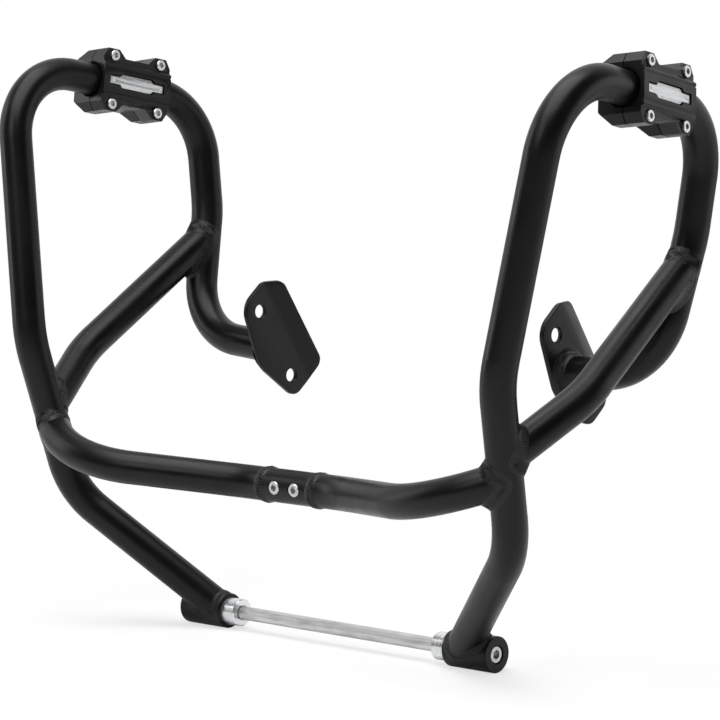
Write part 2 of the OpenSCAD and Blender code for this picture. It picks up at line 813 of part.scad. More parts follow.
module clamp_back() {
    difference() {
        clamp_block(-clamp_back_z - 1, -split_gap / 2);
        at_clamp_screws() translate([0, 0, lug_plane - clamp_head_sink - clamp_screw_len - 1])
            cylinder(h = clamp_screw_len + clamp_back_z, d = clamp_screw_d + 2 * thread_slip);
    }
}

module clamp_screws() {
    at_clamp_screws() translate([0, 0, lug_plane - clamp_head_sink])
        socket_screw(clamp_screw_d, clamp_screw_len, clamp_screw_d);
}

// Long bar with a wider middle, grown all round by a margin
module badge_outline(margin) {
    x1 = badge_len / 2 + margin;
    x2 = badge_mid_len / 2 + (badge_mid_h - badge_end_h) / 2 + margin;
    x3 = badge_mid_len / 2 + margin / 2;
    y1 = badge_end_h / 2 + margin;
    y2 = badge_mid_h / 2 + margin;
    polygon([
        [x1, -y1], [x1, y1], [x2, y1], [x3, y2], [-x3, y2], [-x2, y1],
        [-x1, y1], [-x1, -y1], [-x2, -y1], [-x3, -y2], [x3, -y2], [x2, -y1]
    ]);
}

module badge_plate() {
    translate([0, 0, clamp_front_z - badge_pocket + EPS])
        linear_extrude(height = badge_t) badge_outline(0);
}

// Both sides
module left() {
    mirror([1, 0, 0]) children();
}

module painted() {
    color([0.06, 0.06, 0.06]) children();
}

module bright() {
    color([0.78, 0.78, 0.76]) children();
}

painted() left() loop_tube();  // left_loop_tube
painted() loop_tube();  // right_loop_tube
painted() left() brace_tube();  // left_brace_tube
painted() brace_tube();  // right_brace_tube
painted() left() cross_tube();  // left_cross_tube
painted() cross_tube();  // right_cross_tube
painted() left() lower_boss();  // left_lower_boss
painted() lower_boss();  // right_lower_boss
painted() left() bracket_plate();  // left_bracket_plate
painted() bracket_plate();  // right_bracket_plate
painted() coupler_socket();
painted() coupler_plug();
bright() coupler_screws();
painted() left() brace_front_weld();  // left_brace_front_weld
painted() brace_front_weld();  // right_brace_front_weld
painted() left() brace_rear_weld();  // left_brace_rear_weld
painted() brace_rear_weld();  // right_brace_rear_weld
painted() left() cross_weld();  // left_cross_weld
painted() cross_weld();  // right_cross_weld
painted() left() boss_weld();  // left_boss_weld
painted() boss_weld();  // right_boss_weld
painted() left() plate_weld();  // left_plate_weld
painted() plate_weld();  // right_plate_weld
painted() coupler_weld(-coupler_half);  // socket_weld
painted() coupler_weld(coupler_half);  // plug_weld
mounting_rod();
bright() left() collar();  // left_collar
bright() collar();  // right_collar
bright() left() boss_screw();  // left_boss_screw
bright() boss_screw();  // right_boss_screw
painted() at_clamp(-1) clamp_front();  // left_clamp_front
painted() at_clamp(1) clamp_front();  // right_clamp_front
painted() at_clamp(-1) clamp_back();  // left_clamp_back
painted() at_clamp(1) clamp_back();  // right_clamp_back
bright() at_clamp(-1) badge_plate();  // left_badge_plate
bright() at_clamp(1) badge_plate();  // right_badge_plate
bright() at_clamp(-1) clamp_screws();  // left_clamp_screws
bright() at_clamp(1) clamp_screws();  // right_clamp_screws
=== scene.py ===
# Motorcycle crash bars: satin black tube loops with rippled weld beads, slider clamps and a steel rod
import math

import bmesh
import bpy
from mathutils import Matrix, Vector
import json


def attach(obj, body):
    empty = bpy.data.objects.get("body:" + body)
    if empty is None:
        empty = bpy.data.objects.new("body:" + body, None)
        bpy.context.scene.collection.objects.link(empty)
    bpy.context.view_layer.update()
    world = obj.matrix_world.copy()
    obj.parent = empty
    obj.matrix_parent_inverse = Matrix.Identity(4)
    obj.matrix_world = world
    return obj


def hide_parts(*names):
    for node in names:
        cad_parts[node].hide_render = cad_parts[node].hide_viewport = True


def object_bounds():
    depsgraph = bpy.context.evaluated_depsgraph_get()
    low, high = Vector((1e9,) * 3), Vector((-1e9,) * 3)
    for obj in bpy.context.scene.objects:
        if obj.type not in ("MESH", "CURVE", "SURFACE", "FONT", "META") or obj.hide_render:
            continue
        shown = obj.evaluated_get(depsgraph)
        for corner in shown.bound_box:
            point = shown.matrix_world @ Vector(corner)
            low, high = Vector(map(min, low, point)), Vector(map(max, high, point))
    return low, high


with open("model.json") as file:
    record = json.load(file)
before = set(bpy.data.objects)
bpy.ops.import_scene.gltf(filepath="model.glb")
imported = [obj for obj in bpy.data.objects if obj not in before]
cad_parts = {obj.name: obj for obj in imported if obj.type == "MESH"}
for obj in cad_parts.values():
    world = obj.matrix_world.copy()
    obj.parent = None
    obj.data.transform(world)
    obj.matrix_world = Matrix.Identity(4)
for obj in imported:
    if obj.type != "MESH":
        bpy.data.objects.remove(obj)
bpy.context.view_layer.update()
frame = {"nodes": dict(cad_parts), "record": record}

# The photograph's viewpoint, in metres and degrees
CAMERA_AT = Vector((1.69138, -1.81853, 0.45102))
CAMERA_AZIMUTH = 42.549
CAMERA_ELEVATION = 5.697
LENS = 167.06
SENSOR = 36.0


def add_camera():
    azimuth = math.radians(CAMERA_AZIMUTH)
    elevation = math.radians(CAMERA_ELEVATION)
    right = Vector((math.cos(azimuth), math.sin(azimuth), 0))
    back = Vector((
        math.sin(azimuth) * math.cos(elevation),
        -math.cos(azimuth) * math.cos(elevation),
        math.sin(elevation),
    ))
    up = back.cross(right)
    data = bpy.data.cameras.new("camera")
    data.lens = LENS
    data.sensor_width = SENSOR
    data.clip_start = 0.05
    data.clip_end = 50
    camera = bpy.data.objects.new("camera", data)
    turned = Matrix((right, up, back)).transposed().to_4x4()
    camera.matrix_world = Matrix.Translation(CAMERA_AT) @ turned
    bpy.context.scene.collection.objects.link(camera)
    bpy.context.scene.camera = camera


add_camera()


# Materials. Every pattern reads Object coordinates, which are the part's own metres.
COAT_SHINE = 0.22
DUST_LIGHTER = 1.8


class Finish:
    """A material's node tree with short calls to add and join nodes."""

    def __init__(self, name, colour, metallic, roughness):
        self.material = bpy.data.materials.new(name)
        self.material.use_nodes = True
        self.nodes = self.material.node_tree.nodes
        self.links = self.material.node_tree.links
        self.shader = self.nodes["Principled BSDF"]
        self.shader.inputs["Base Color"].default_value = (*colour, 1)
        self.shader.inputs["Metallic"].default_value = metallic
        self.shader.inputs["Roughness"].default_value = roughness
        self.place = self.add("ShaderNodeTexCoord").outputs["Object"]

    def add(self, kind, **values):
        node = self.nodes.new(kind)
        for key, value in values.items():
            setattr(node, key, value)
        return node

    def join(self, output, node, socket):
        self.links.new(output, node.inputs[socket])

    def stretched(self, scale):
        """Object coordinates, stretched by one number for each axis."""
        mapping = self.add("ShaderNodeMapping")
        self.join(self.place, mapping, "Vector")
        mapping.inputs["Scale"].default_value = scale
        return mapping.outputs["Vector"]

    def noise(self, place, scale, detail=3.0, rough=0.55):
        node = self.add("ShaderNodeTexNoise")
        self.join(place, node, "Vector")
        node.inputs["Scale"].default_value = scale
        node.inputs["Detail"].default_value = detail
        node.inputs["Roughness"].default_value = rough
        return node.outputs["Fac"]

    def ranged(self, value, low, high, to_low, to_high):
        node = self.add("ShaderNodeMapRange")
        self.join(value, node, "Value")
        node.inputs["From Min"].default_value = low
        node.inputs["From Max"].default_value = high
        node.inputs["To Min"].default_value = to_low
        node.inputs["To Max"].default_value = to_high
        return node.outputs["Result"]

    def product(self, first, second):
        node = self.add("ShaderNodeMath", operation="MULTIPLY")
        self.join(first, node, 0)
        self.join(second, node, 1)
        return node.outputs["Value"]

    def mixed(self, factor, first, second):
        node = self.add("ShaderNodeMix", data_type="RGBA")
        self.join(factor, node, 0)
        node.inputs[6].default_value = (*first, 1)
        node.inputs[7].default_value = (*second, 1)
        return node.outputs[2]

    def bumped(self, height, strength, distance):
        node = self.add("ShaderNodeBump")
        self.join(height, node, "Height")
        node.inputs["Strength"].default_value = strength
        node.inputs["Distance"].default_value = distance
        self.join(node.outputs["Normal"], self.shader, "Normal")

    def around_rod(self):
        """Coordinates for turned rings: place along the rod's axis and distance from it."""
        split = self.add("ShaderNodeSeparateXYZ")
        self.join(self.place, split, "Vector")
        across = self.add("ShaderNodeCombineXYZ")
        self.join(split.outputs["Y"], across, "Y")
        self.join(split.outputs["Z"], across, "Z")
        length = self.add("ShaderNodeVectorMath", operation="LENGTH")
        self.join(across.outputs["Vector"], length, 0)
        rings = self.add("ShaderNodeCombineXYZ")
        self.join(split.outputs["X"], rings, "X")
        self.join(length.outputs["Value"], rings, "Y")
        return rings.outputs["Vector"]


def powder_coat(name, colour, low, high, grain, depth):
    """Sprayed coat: a fine orange-peel skin, with slow changes in its shine and faint dust."""
    coat = Finish(name, colour, 0.0, (low + high) / 2)
    clouds = coat.noise(coat.place, 22, 2)
    coat.join(coat.ranged(clouds, 0.35, 0.65, low, high), coat.shader, "Roughness")
    dust = coat.ranged(coat.noise(coat.place, 620, 4, 0.7), 0.5, 0.75, 0.0, 1.0)
    coat.join(coat.mixed(dust, colour, tuple(c * DUST_LIGHTER for c in colour)), coat.shader, "Base Color")
    coat.shader.inputs["Specular IOR Level"].default_value = COAT_SHINE
    coat.bumped(coat.noise(coat.place, grain, 2), 0.4, depth)
    return coat.material


def turned_metal(name, colour, roughness):
    """Bare metal off a lathe, with fine rings round the rod's axis and a few tool lines."""
    metal = Finish(name, colour, 1.0, roughness)
    around = metal.around_rod()
    rings = metal.noise(around, 2600, 3, 0.7)
    metal.join(metal.ranged(rings, 0.3, 0.7, roughness - 0.08, roughness + 0.1), metal.shader, "Roughness")
    lines = metal.ranged(metal.noise(around, 900, 2, 0.6), 0.35, 0.6, 0.72, 1.0)
    darker = tuple(c * 0.5 for c in colour)
    metal.join(metal.mixed(lines, darker, colour), metal.shader, "Base Color")
    metal.bumped(rings, 0.35, 0.00004)
    metal.shader.inputs["Anisotropic"].default_value = 0.4
    return metal.material


def drawn_rod(name):
    """Grey drawn steel with faint streaks along the rod and a few darker stains."""
    metal = Finish(name, (0.4, 0.4, 0.41), 1.0, 0.42)
    streaks = metal.noise(metal.stretched((26, 900, 900)), 1, 4, 0.65)
    stains = metal.noise(metal.stretched((45, 160, 160)), 1, 2, 0.5)
    streaked = metal.ranged(streaks, 0.3, 0.7, 0.72, 1.1)
    stained = metal.ranged(stains, 0.3, 0.55, 0.66, 1.0)
    tone = metal.product(streaked, stained)
    metal.join(metal.mixed(tone, (0.16, 0.16, 0.165), (0.64, 0.64, 0.65)), metal.shader, "Base Color")
    metal.join(metal.ranged(streaks, 0.3, 0.7, 0.52, 0.38), metal.shader, "Roughness")
    metal.bumped(streaks, 0.3, 0.00004)
    return metal.material


def bright_screw(name):
    metal = Finish(name, (0.6, 0.6, 0.61), 1.0, 0.28)
    marks = metal.noise(metal.place, 1400, 3, 0.6)
    metal.join(metal.ranged(marks, 0.3, 0.7, 0.22, 0.42), metal.shader, "Roughness")
    metal.join(metal.mixed(metal.ranged(marks, 0.35, 0.6, 0, 1), (0.4, 0.4, 0.41), (0.64, 0.64, 0.65)),
               metal.shader, "Base Color")
    metal.bumped(marks, 0.2, 0.00003)
    return metal.material


def brushed_plate(name):
    """Bare aluminium, brushed along the plate."""
    metal = Finish(name, (0.7, 0.71, 0.72), 1.0, 0.4)
    lines = metal.noise(metal.stretched((2600, 60, 2600)), 1, 3, 0.6)
    metal.join(metal.ranged(lines, 0.3, 0.7, 0.34, 0.55), metal.shader, "Roughness")
    metal.join(metal.mixed(metal.ranged(lines, 0.35, 0.65, 0, 1), (0.5, 0.51, 0.52), (0.74, 0.75, 0.76)),
               metal.shader, "Base Color")
    metal.bumped(lines, 0.3, 0.00003)
    return metal.material


FINISHES = {
    "frame_coat": powder_coat("satin_black_coat", (0.0016, 0.0016, 0.0018), 0.3, 0.4, 1500, 0.00004),
    # The welds wear the same black coat as the tubes; its lighter colour here is a painted sheen for the
    # light that their ripples catch.
    "weld_coat": powder_coat("coated_weld", (0.0085, 0.0085, 0.0088), 0.22, 0.32, 2600, 0.00003),
    "clamp_coat": powder_coat("clamp_black_coat", (0.0045, 0.0045, 0.0048), 0.28, 0.36, 2200, 0.00003),
    "collar_metal": turned_metal("turned_aluminium", (0.74, 0.75, 0.76), 0.28),
    "rod_steel": drawn_rod("drawn_rod_steel"),
    "screw_steel": bright_screw("bright_screw_steel"),
    "badge_metal": brushed_plate("brushed_aluminium"),
}
SLOTS = {part["node"]: part["material_slot"] for part in frame["record"]["subparts"]}


# Tubes, in the source's millimetres
MM = 0.001
TUBE_R = 12.7
BOSS_R = 13.5
WELD_LIFT = 0.08
CLEARANCE = 0.2
FOOT = Vector((123, 0, 0))
LOWER_BEND = Vector((224, -64, 91))
MID_BEND = Vector((236, -96, 210))
TOP_FRONT_BEND = Vector((274.5, -79, 424))
TOP_REAR_BEND = Vector((258, 111, 389))
REAR_BEND = Vector((246, 108, 302))
TURN_IN_BEND = Vector((234, 84, 204))
BEND_R = 54
LOWER_BEND_R = 67
FRONT_UP = (MID_BEND - LOWER_BEND).normalized()
REAR_UP = (REAR_BEND - TURN_IN_BEND).normalized()
BRACE_FOOT = LOWER_BEND + FRONT_UP * 68
BRACE_HEAD = TURN_IN_BEND + REAR_UP * 80
BRACE_BEND_SHARE = 0.32
BRACE_BOW = Vector((19, 0, 0))
BRACE_BEND = BRACE_FOOT.lerp(BRACE_HEAD, BRACE_BEND_SHARE) + BRACE_BOW
BRACE_BEND_R = 73
CROSS_FOOT = LOWER_BEND + FRONT_UP * 54
COUPLER = Vector((0, -47, 112))
CROSS_BEND = COUPLER + Vector((183, -65, 11))
CROSS_INNER_BEND = COUPLER + Vector((49, 0, 0))
CROSS_BEND_R = 93
COUPLER_HALF = 26
PLATE_LEAN = math.radians(33.5)
PLATE_OUT = Vector((1, 0, 0))
PLATE_MIDDLE = Vector((151, 88, 200))
# The tube ends this far in front of the plate's hole line
PLATE_TUBE_AT = 4.5
PLATE_END = Vector((
    153,
    88 - PLATE_TUBE_AT * math.cos(PLATE_LEAN),
    200 - PLATE_TUBE_AT * math.sin(PLATE_LEAN),
))


class Branch:
    """A tube that ends on another piece: a straight stretch and the bend after it."""

    def __init__(self, foot, corner, beyond, radius):
        self.foot = foot
        self.way = (corner - foot).normalized()
        leave = beyond - corner
        self.side = (leave - leave.dot(self.way) * self.way).normalized()
        self.across = self.way.cross(self.side)
        self.radius = radius
        self.straight = (corner - foot).length - radius * math.tan(self.way.angle(leave) / 2)

    def turn(self, s):
        return max(0, s - self.straight) / self.radius

    def centre(self, s):
        t = self.turn(s)
        along = min(s, self.straight) + self.radius * math.sin(t)
        return self.foot + self.way * along + self.side * self.radius * (1 - math.cos(t))

    def heading(self, s):
        t = self.turn(s)
        return self.way * math.cos(t) + self.side * math.sin(t)

    def normal(self, s, phi):
        t = self.turn(s)
        inwards = self.side * math.cos(t) - self.way * math.sin(t)
        return inwards * math.cos(phi) + self.across * math.sin(phi)

    def point(self, s, phi):
        return self.centre(s) + self.normal(s, phi) * (TUBE_R + WELD_LIFT)

    def on(self, s, p):
        """The nearest point on the tube's skin to a point beside its centre line."""
        v = p - self.centre(s)
        heading = self.heading(s)
        flat = v - v.dot(heading) * heading
        return p - flat + flat.normalized() * (TUBE_R + WELD_LIFT)


class Round:
    """A round piece that a branch ends on."""

    lowest = 0

    def __init__(self, at, axis, radius):
        self.at, self.axis, self.radius = at, axis, radius

    def off_axis(self, p):
        v = p - self.at
        return v - v.dot(self.axis) * self.axis

    def gap(self, p):
        return self.off_axis(p).length - self.radius - WELD_LIFT

    def normal(self, p):
        return self.off_axis(p).normalized()


class Flat:
    """A flat face that a branch ends on."""

    lowest = -6

    def __init__(self, at, out):
        self.at, self.out = at, out

    def gap(self, p):
        return (p - self.at).dot(self.out) - WELD_LIFT

    def normal(self, p):
        return self.out


HALVINGS = 18


def meeting(branch, main, phi):
    """Distance along the branch at which its skin meets the main piece, by halving."""
    low, high = main.lowest, 4 * TUBE_R
    for _ in range(HALVINGS):
        middle = (low + high) / 2
        if main.gap(branch.point(middle, phi)) > 0:
            high = middle
        else:
            low = middle
    return (low + high) / 2


def room_beside(branch, p):
    """Distance from a point to the skin of another tube that starts at the same place."""
    v = p - branch.foot
    along = v.dot(branch.way)
    aside = (v - along * branch.way).length - TUBE_R
    return aside if along > 0 else math.hypot(aside, along)


BEAD_STEPS = 336
CROWN_STEPS = 10
CROWN_POWER = 0.8
TOE_ANGLE = math.radians(100)
# Share of the way to the root by which a bead's skin dips, as a fillet does
HOLLOWNESS = 0.4


def joint_sections(branch, main, leg, bulge, beside=None):
    """Sections of a bead along the curve where a branch meets the main piece."""
    turns = [2 * math.pi * i / BEAD_STEPS for i in range(BEAD_STEPS)]
    spots = [meeting(branch, main, phi) for phi in turns]
    roots = [branch.point(s, phi) for s, phi in zip(spots, turns)]
    sections = []
    for i in range(BEAD_STEPS):
        s, phi, root = spots[i], turns[i], roots[i]
        share = 1 if beside is None else min(1, (room_beside(beside, root) / 2 - CLEARANCE) / leg)
        along = (roots[(i + 2) % BEAD_STEPS] - roots[i - 2]).normalized()
        n_main = main.normal(root)
        n_branch = branch.normal(s, phi)
        to_main = along.cross(n_main)
        to_branch = n_branch.cross(along)
        out = (n_main + n_branch).normalized()

        def on_main(p):
            return p - main.normal(p) * main.gap(p)

        reach = leg * share
        toe_main = on_main(root + to_main * reach)
        toe_branch = branch.on(s + reach / 2, root + to_branch * reach)
        under_branch = branch.on(s + reach / 4, root + to_branch * reach / 2)
        under_main = on_main(root + to_main * reach / 2)
        hidden = [under_branch, root, under_main]
        sections.append((toe_main, toe_branch, out, bulge * share, hidden))
    return sections


def butt_sections(centre, leg, bulge):
    """Sections of a bead round the joint between two tubes on one axis along X."""
    sections = []
    for i in range(BEAD_STEPS):
        phi = 2 * math.pi * i / BEAD_STEPS
        out = Vector((0, math.cos(phi), math.sin(phi)))
        base = centre + out * (TUBE_R + WELD_LIFT)
        reach = Vector((leg, 0, 0))
        sections.append((base - reach, base + reach, out, bulge, [base]))
    return sections


def bead_blank(name, sections, mirrored):
    """The smooth bead, with the numbers that the ripples need stored on its points."""
    points, turns, acrosses, crowns, outs = [], [], [], [], []
    flip = Vector((-1, 1, 1)) if mirrored else Vector((1, 1, 1))
    for i, (toe_main, toe_branch, out, bulge, hidden) in enumerate(sections):
        ring = []
        valley = toe_main.lerp(toe_branch, 0.5).lerp(hidden[len(hidden) // 2], HOLLOWNESS)
        for j in range(CROWN_STEPS + 1):
            t = j / CROWN_STEPS
            crown = math.sin(math.pi * t) ** CROWN_POWER
            hollow = toe_main.lerp(valley, t).lerp(valley.lerp(toe_branch, t), t)
            ring.append((hollow + out * bulge * crown, 2 * t - 1, crown))
        ring += [(p, 0, 0) for p in hidden]
        for p, across, crown in ring:
            points.append(p * flip * MM)
            turns.append(i / BEAD_STEPS)
            acrosses.append(across)
            crowns.append(crown)
            outs += list(out * flip)
    sides = len(points) // BEAD_STEPS
    faces = []
    for i in range(BEAD_STEPS):
        for j in range(sides):
            a, b = i * sides + j, i * sides + (j + 1) % sides
            later = ((i + 1) % BEAD_STEPS) * sides
            c, d = later + (j + 1) % sides, later + j
            faces.append((a, b, c, d))
    mesh = bpy.data.meshes.new(name)
    mesh.from_pydata(points, [], faces)
    for title, values in (("turn", turns), ("across", acrosses), ("crown", crowns)):
        mesh.attributes.new(title, "FLOAT", "POINT").data.foreach_set("value", values)
    mesh.attributes.new("out", "FLOAT_VECTOR", "POINT").data.foreach_set("vector", outs)
    face_outwards(mesh)
    mesh.set_sharp_from_angle(angle=TOE_ANGLE)
    bead = bpy.data.objects.new(name, mesh)
    bpy.context.scene.collection.objects.link(bead)
    return bead


def face_outwards(mesh):
    shape = bmesh.new()
    shape.from_mesh(mesh)
    bmesh.ops.recalc_face_normals(shape, faces=shape.faces)
    shape.to_mesh(mesh)
    shape.free()


class Nodes:
    """A Geometry Nodes tree with short calls to add, join and feed nodes."""

    def __init__(self, name, sockets):
        self.tree = bpy.data.node_groups.new(name, "GeometryNodeTree")
        self.tree.interface.new_socket("Geometry", in_out="INPUT", socket_type="NodeSocketGeometry")
        for title, kind in sockets:
            self.tree.interface.new_socket(title, in_out="INPUT", socket_type=kind)
        self.tree.interface.new_socket("Geometry", in_out="OUTPUT", socket_type="NodeSocketGeometry")
        self.given = self.tree.nodes.new("NodeGroupInput").outputs
        self.result = self.tree.nodes.new("NodeGroupOutput")

    def add(self, kind, inputs=(), **values):
        node = self.tree.nodes.new(kind)
        for key, value in values.items():
            setattr(node, key, value)
        for socket, value in dict(inputs).items():
            if isinstance(value, bpy.types.NodeSocket):
                self.tree.links.new(value, node.inputs[socket])
            else:
                node.inputs[socket].default_value = value
        return node

    def maths(self, operation, first, second=0.0):
        return self.add("ShaderNodeMath", {0: first, 1: second}, operation=operation).outputs[0]

    def stored(self, title, kind="FLOAT"):
        node = self.add("GeometryNodeInputNamedAttribute", {"Name": title}, data_type=kind)
        return node.outputs["Attribute"]

    def finish(self, geometry):
        real = self.add("GeometryNodeRealizeInstances", {"Geometry": geometry})
        coated = self.add("GeometryNodeSetMaterial", {
            "Geometry": real.outputs[0], "Material": self.given["Material"],
        })
        self.tree.links.new(coated.outputs[0], self.result.inputs[0])

    def applied(self, obj, **values):
        """Feeds the tree's inputs by name and bakes what it makes into the object's mesh."""
        modifier = obj.modifiers.new(self.tree.name, "NODES")
        modifier.node_group = self.tree
        for item in self.tree.interface.items_tree:
            if item.in_out == "INPUT" and item.name.replace(" ", "_").lower() in values:
                modifier[item.identifier] = values[item.name.replace(" ", "_").lower()]
        baked(obj)


def baked(obj):
    """Turns what the modifiers make into the object's own mesh."""
    seen = obj.evaluated_get(bpy.context.evaluated_depsgraph_get())
    mesh = bpy.data.meshes.new_from_object(seen)
    obj.modifiers.clear()
    old = obj.data
    obj.data = mesh
    bpy.data.meshes.remove(old)
    mesh.name = obj.name


RIPPLE_PITCH = 1.9
WANDER_SCALE = 120.0
SCALE_MIDDLE = 0.6


def ripple_tree():
    """Ripples of a weld bead: rounded scales with sharp valleys that curve back at its sides."""
    tree = Nodes("weld_ripples", [
        ("Ripples", "NodeSocketInt"),
        ("Scale Height", "NodeSocketFloat"),
        ("Crescent", "NodeSocketFloat"),
        ("Unevenness", "NodeSocketFloat"),
        ("Seed", "NodeSocketFloat"),
        ("Material", "NodeSocketMaterial"),
    ])
    across = tree.stored("across")
    crown = tree.stored("crown")
    place = tree.add("GeometryNodeInputPosition").outputs[0]
    wander = tree.add("ShaderNodeTexNoise", {
        "Vector": place, "W": tree.given["Seed"], "Scale": WANDER_SCALE, "Detail": 2.0,
    }, noise_dimensions="4D").outputs[0]
    wander = tree.maths("SUBTRACT", wander, 0.5)
    aside = tree.maths("POWER", tree.maths("ABSOLUTE", across), 2.0)
    bend = tree.maths("MULTIPLY", aside, tree.given["Crescent"])
    count = tree.maths("MULTIPLY", tree.stored("turn"), tree.given["Ripples"])
    phase = tree.maths("ADD", tree.maths("ADD", count, bend), wander)
    wave = tree.maths("ABSOLUTE", tree.maths("SINE", tree.maths("MULTIPLY", phase, math.pi)))
    height = tree.maths("MULTIPLY", tree.maths("SUBTRACT", wave, SCALE_MIDDLE), tree.given["Scale Height"])
    uneven = tree.maths("MULTIPLY", wander, tree.given["Unevenness"])
    lift = tree.maths("MULTIPLY", tree.maths("ADD", height, uneven), crown)
    out = tree.stored("out", "FLOAT_VECTOR")
    way = tree.add("ShaderNodeVectorMath", {0: out, "Scale": lift}, operation="SCALE")
    moved = tree.add("GeometryNodeSetPosition", {
        "Geometry": tree.given["Geometry"], "Offset": way.outputs[0],
    })
    smooth = tree.add("GeometryNodeSetShadeSmooth", {"Geometry": moved.outputs[0]})
    tree.finish(smooth.outputs[0])
    return tree


RIPPLES = ripple_tree()
SCALE_HEIGHT = 1.0
CRESCENT = 2.6
COUPLER_UNEVENNESS = 2.4


def length_round(sections):
    return sum((sections[i][0] - sections[i - 1][0]).length for i in range(len(sections)))


def add_bead(node, sections, mirrored, seed, unevenness=1.0):
    bead = bead_blank(node + "_bead", sections, mirrored)
    count = round(length_round(sections) / RIPPLE_PITCH)
    RIPPLES.applied(
        bead, ripples=count, scale_height=SCALE_HEIGHT * MM, crescent=CRESCENT,
        unevenness=unevenness * MM, seed=seed, material=FINISHES["weld_coat"],
    )
    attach(bead, "root")
    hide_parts(node)


# Legs and bulges of the beads, in millimetres
TUBE_LEG = 6.2
BOSS_LEG = 3.6
PLATE_LEG = 6.4
COUPLER_LEG = 4.4
JOINT_BULGE = 0.25
COUPLER_BULGE = 0.65


def add_beads():
    brace_front = Branch(BRACE_FOOT, BRACE_BEND, BRACE_HEAD, BRACE_BEND_R)
    brace_rear = Branch(BRACE_HEAD, BRACE_BEND, BRACE_FOOT, BRACE_BEND_R)
    cross = Branch(CROSS_FOOT, CROSS_BEND, CROSS_INNER_BEND, CROSS_BEND_R)
    leg = Branch(FOOT, LOWER_BEND, MID_BEND, LOWER_BEND_R)
    turn_in = Branch(PLATE_END, TURN_IN_BEND, REAR_BEND, BEND_R)
    front_upright = Round(LOWER_BEND, FRONT_UP, TUBE_R)
    rear_upright = Round(TURN_IN_BEND, REAR_UP, TUBE_R)
    boss = Round(FOOT, Vector((1, 0, 0)), BOSS_R)
    plate = Flat(PLATE_END, PLATE_OUT)
    joints = {
        "brace_front_weld": joint_sections(brace_front, front_upright, TUBE_LEG, JOINT_BULGE, cross),
        "brace_rear_weld": joint_sections(brace_rear, rear_upright, TUBE_LEG, JOINT_BULGE),
        "cross_weld": joint_sections(cross, front_upright, TUBE_LEG, JOINT_BULGE, brace_front),
        "boss_weld": joint_sections(leg, boss, BOSS_LEG, JOINT_BULGE),
        "plate_weld": joint_sections(turn_in, plate, PLATE_LEG, JOINT_BULGE),
    }
    for number, (joint, sections) in enumerate(joints.items()):
        for mirrored, side in ((False, "right"), (True, "left")):
            add_bead(f"{side}_{joint}", sections, mirrored, 3.7 * number + mirrored)
    for number, (node, side) in enumerate((("socket_weld", -1), ("plug_weld", 1))):
        centre = COUPLER + Vector((side * COUPLER_HALF, 0, 0))
        sections = butt_sections(centre, COUPLER_LEG, COUPLER_BULGE)
        add_bead(node, sections, False, 41 + number, COUPLER_UNEVENNESS)


add_beads()


def add_piece(name, mesh, node):
    """A new object that stands for a CAD node and wears that node's finish."""
    mesh.name = name
    piece = bpy.data.objects.new(name, mesh)
    bpy.context.scene.collection.objects.link(piece)
    mesh.materials.clear()
    mesh.materials.append(FINISHES[SLOTS[node]])
    return piece


CREASE = math.radians(32)
SAME_POINT = 2e-6
SAME_FACE = math.radians(0.6)


def ease_edges(piece, width):
    bevel = piece.modifiers.new("eased_edges", "BEVEL")
    bevel.width = width * MM
    bevel.segments = 2
    bevel.limit_method = "ANGLE"
    bevel.angle_limit = CREASE
    bevel.harden_normals = True
    bevel.use_clamp_overlap = False


def settle(piece, node):
    """Bakes the modifiers and puts the piece in the node's place."""
    baked(piece)
    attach(piece, "root")
    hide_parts(node)


def reworked(node, suffix, cutter, width=0):
    """A copy of a CAD node with a cut in it, and with eased edges where a width is given."""
    mesh = frame["nodes"][node].data.copy()
    shape = bmesh.new()
    shape.from_mesh(mesh)
    bmesh.ops.remove_doubles(shape, verts=shape.verts, dist=SAME_POINT)
    bmesh.ops.dissolve_limit(shape, angle_limit=SAME_FACE, verts=shape.verts, edges=shape.edges)
    for face in shape.faces:
        face.smooth = True
    mesh.clear_geometry()
    shape.to_mesh(mesh)
    shape.free()
    piece = add_piece(node + suffix, mesh, node)
    cut = piece.modifiers.new("cut", "BOOLEAN")
    cut.operation = "DIFFERENCE"
    cut.object = cutter
    if width:
        ease_edges(piece, width)
    settle(piece, node)
    if not width:
        piece.data.set_sharp_from_angle(angle=CREASE)


# Slider clamps and their badges, in millimetres and degrees. Both panels face the same way.
CLAMP_AT = 114
CLAMP_ROLL = 6
PANEL_FRONT = 17.5
GROOVE_Y = 10.2
GROOVE_SIDE = 1.7
GROOVE_LENGTH = 80
GROOVE_LIFT = 0.3
BADGE_FRONT = 16.4
BADGE_EDGE = 0.25
DIMPLE_AT = 23.5
DIMPLE_INNER_R = 0.7
DIMPLE_OUTER_R = 1.5
DIMPLE_DEPTH = 1.2


def clamp_place(side):
    """From a slider clamp's own axes (along the tube, up the panel, out of the panel) to the frame."""
    sign = 1 if side == "right" else -1
    start, end = (Vector((sign * p[0], p[1], p[2])) for p in (TOP_FRONT_BEND, TOP_REAR_BEND))
    way = (end - start).normalized()
    front = way.cross(Vector((0, 0, 1))).normalized()
    turned = Matrix((way, front.cross(way), front)).transposed().to_4x4()
    roll = Matrix.Rotation(math.radians(-CLAMP_ROLL), 4, "X")
    return Matrix.Scale(MM, 4) @ Matrix.Translation(start + way * CLAMP_AT) @ turned @ roll


def cutter_of(shape):
    mesh = bpy.data.meshes.new("cutter")
    shape.to_mesh(mesh)
    shape.free()
    cutter = bpy.data.objects.new("cutter", mesh)
    bpy.context.scene.collection.objects.link(cutter)
    return cutter


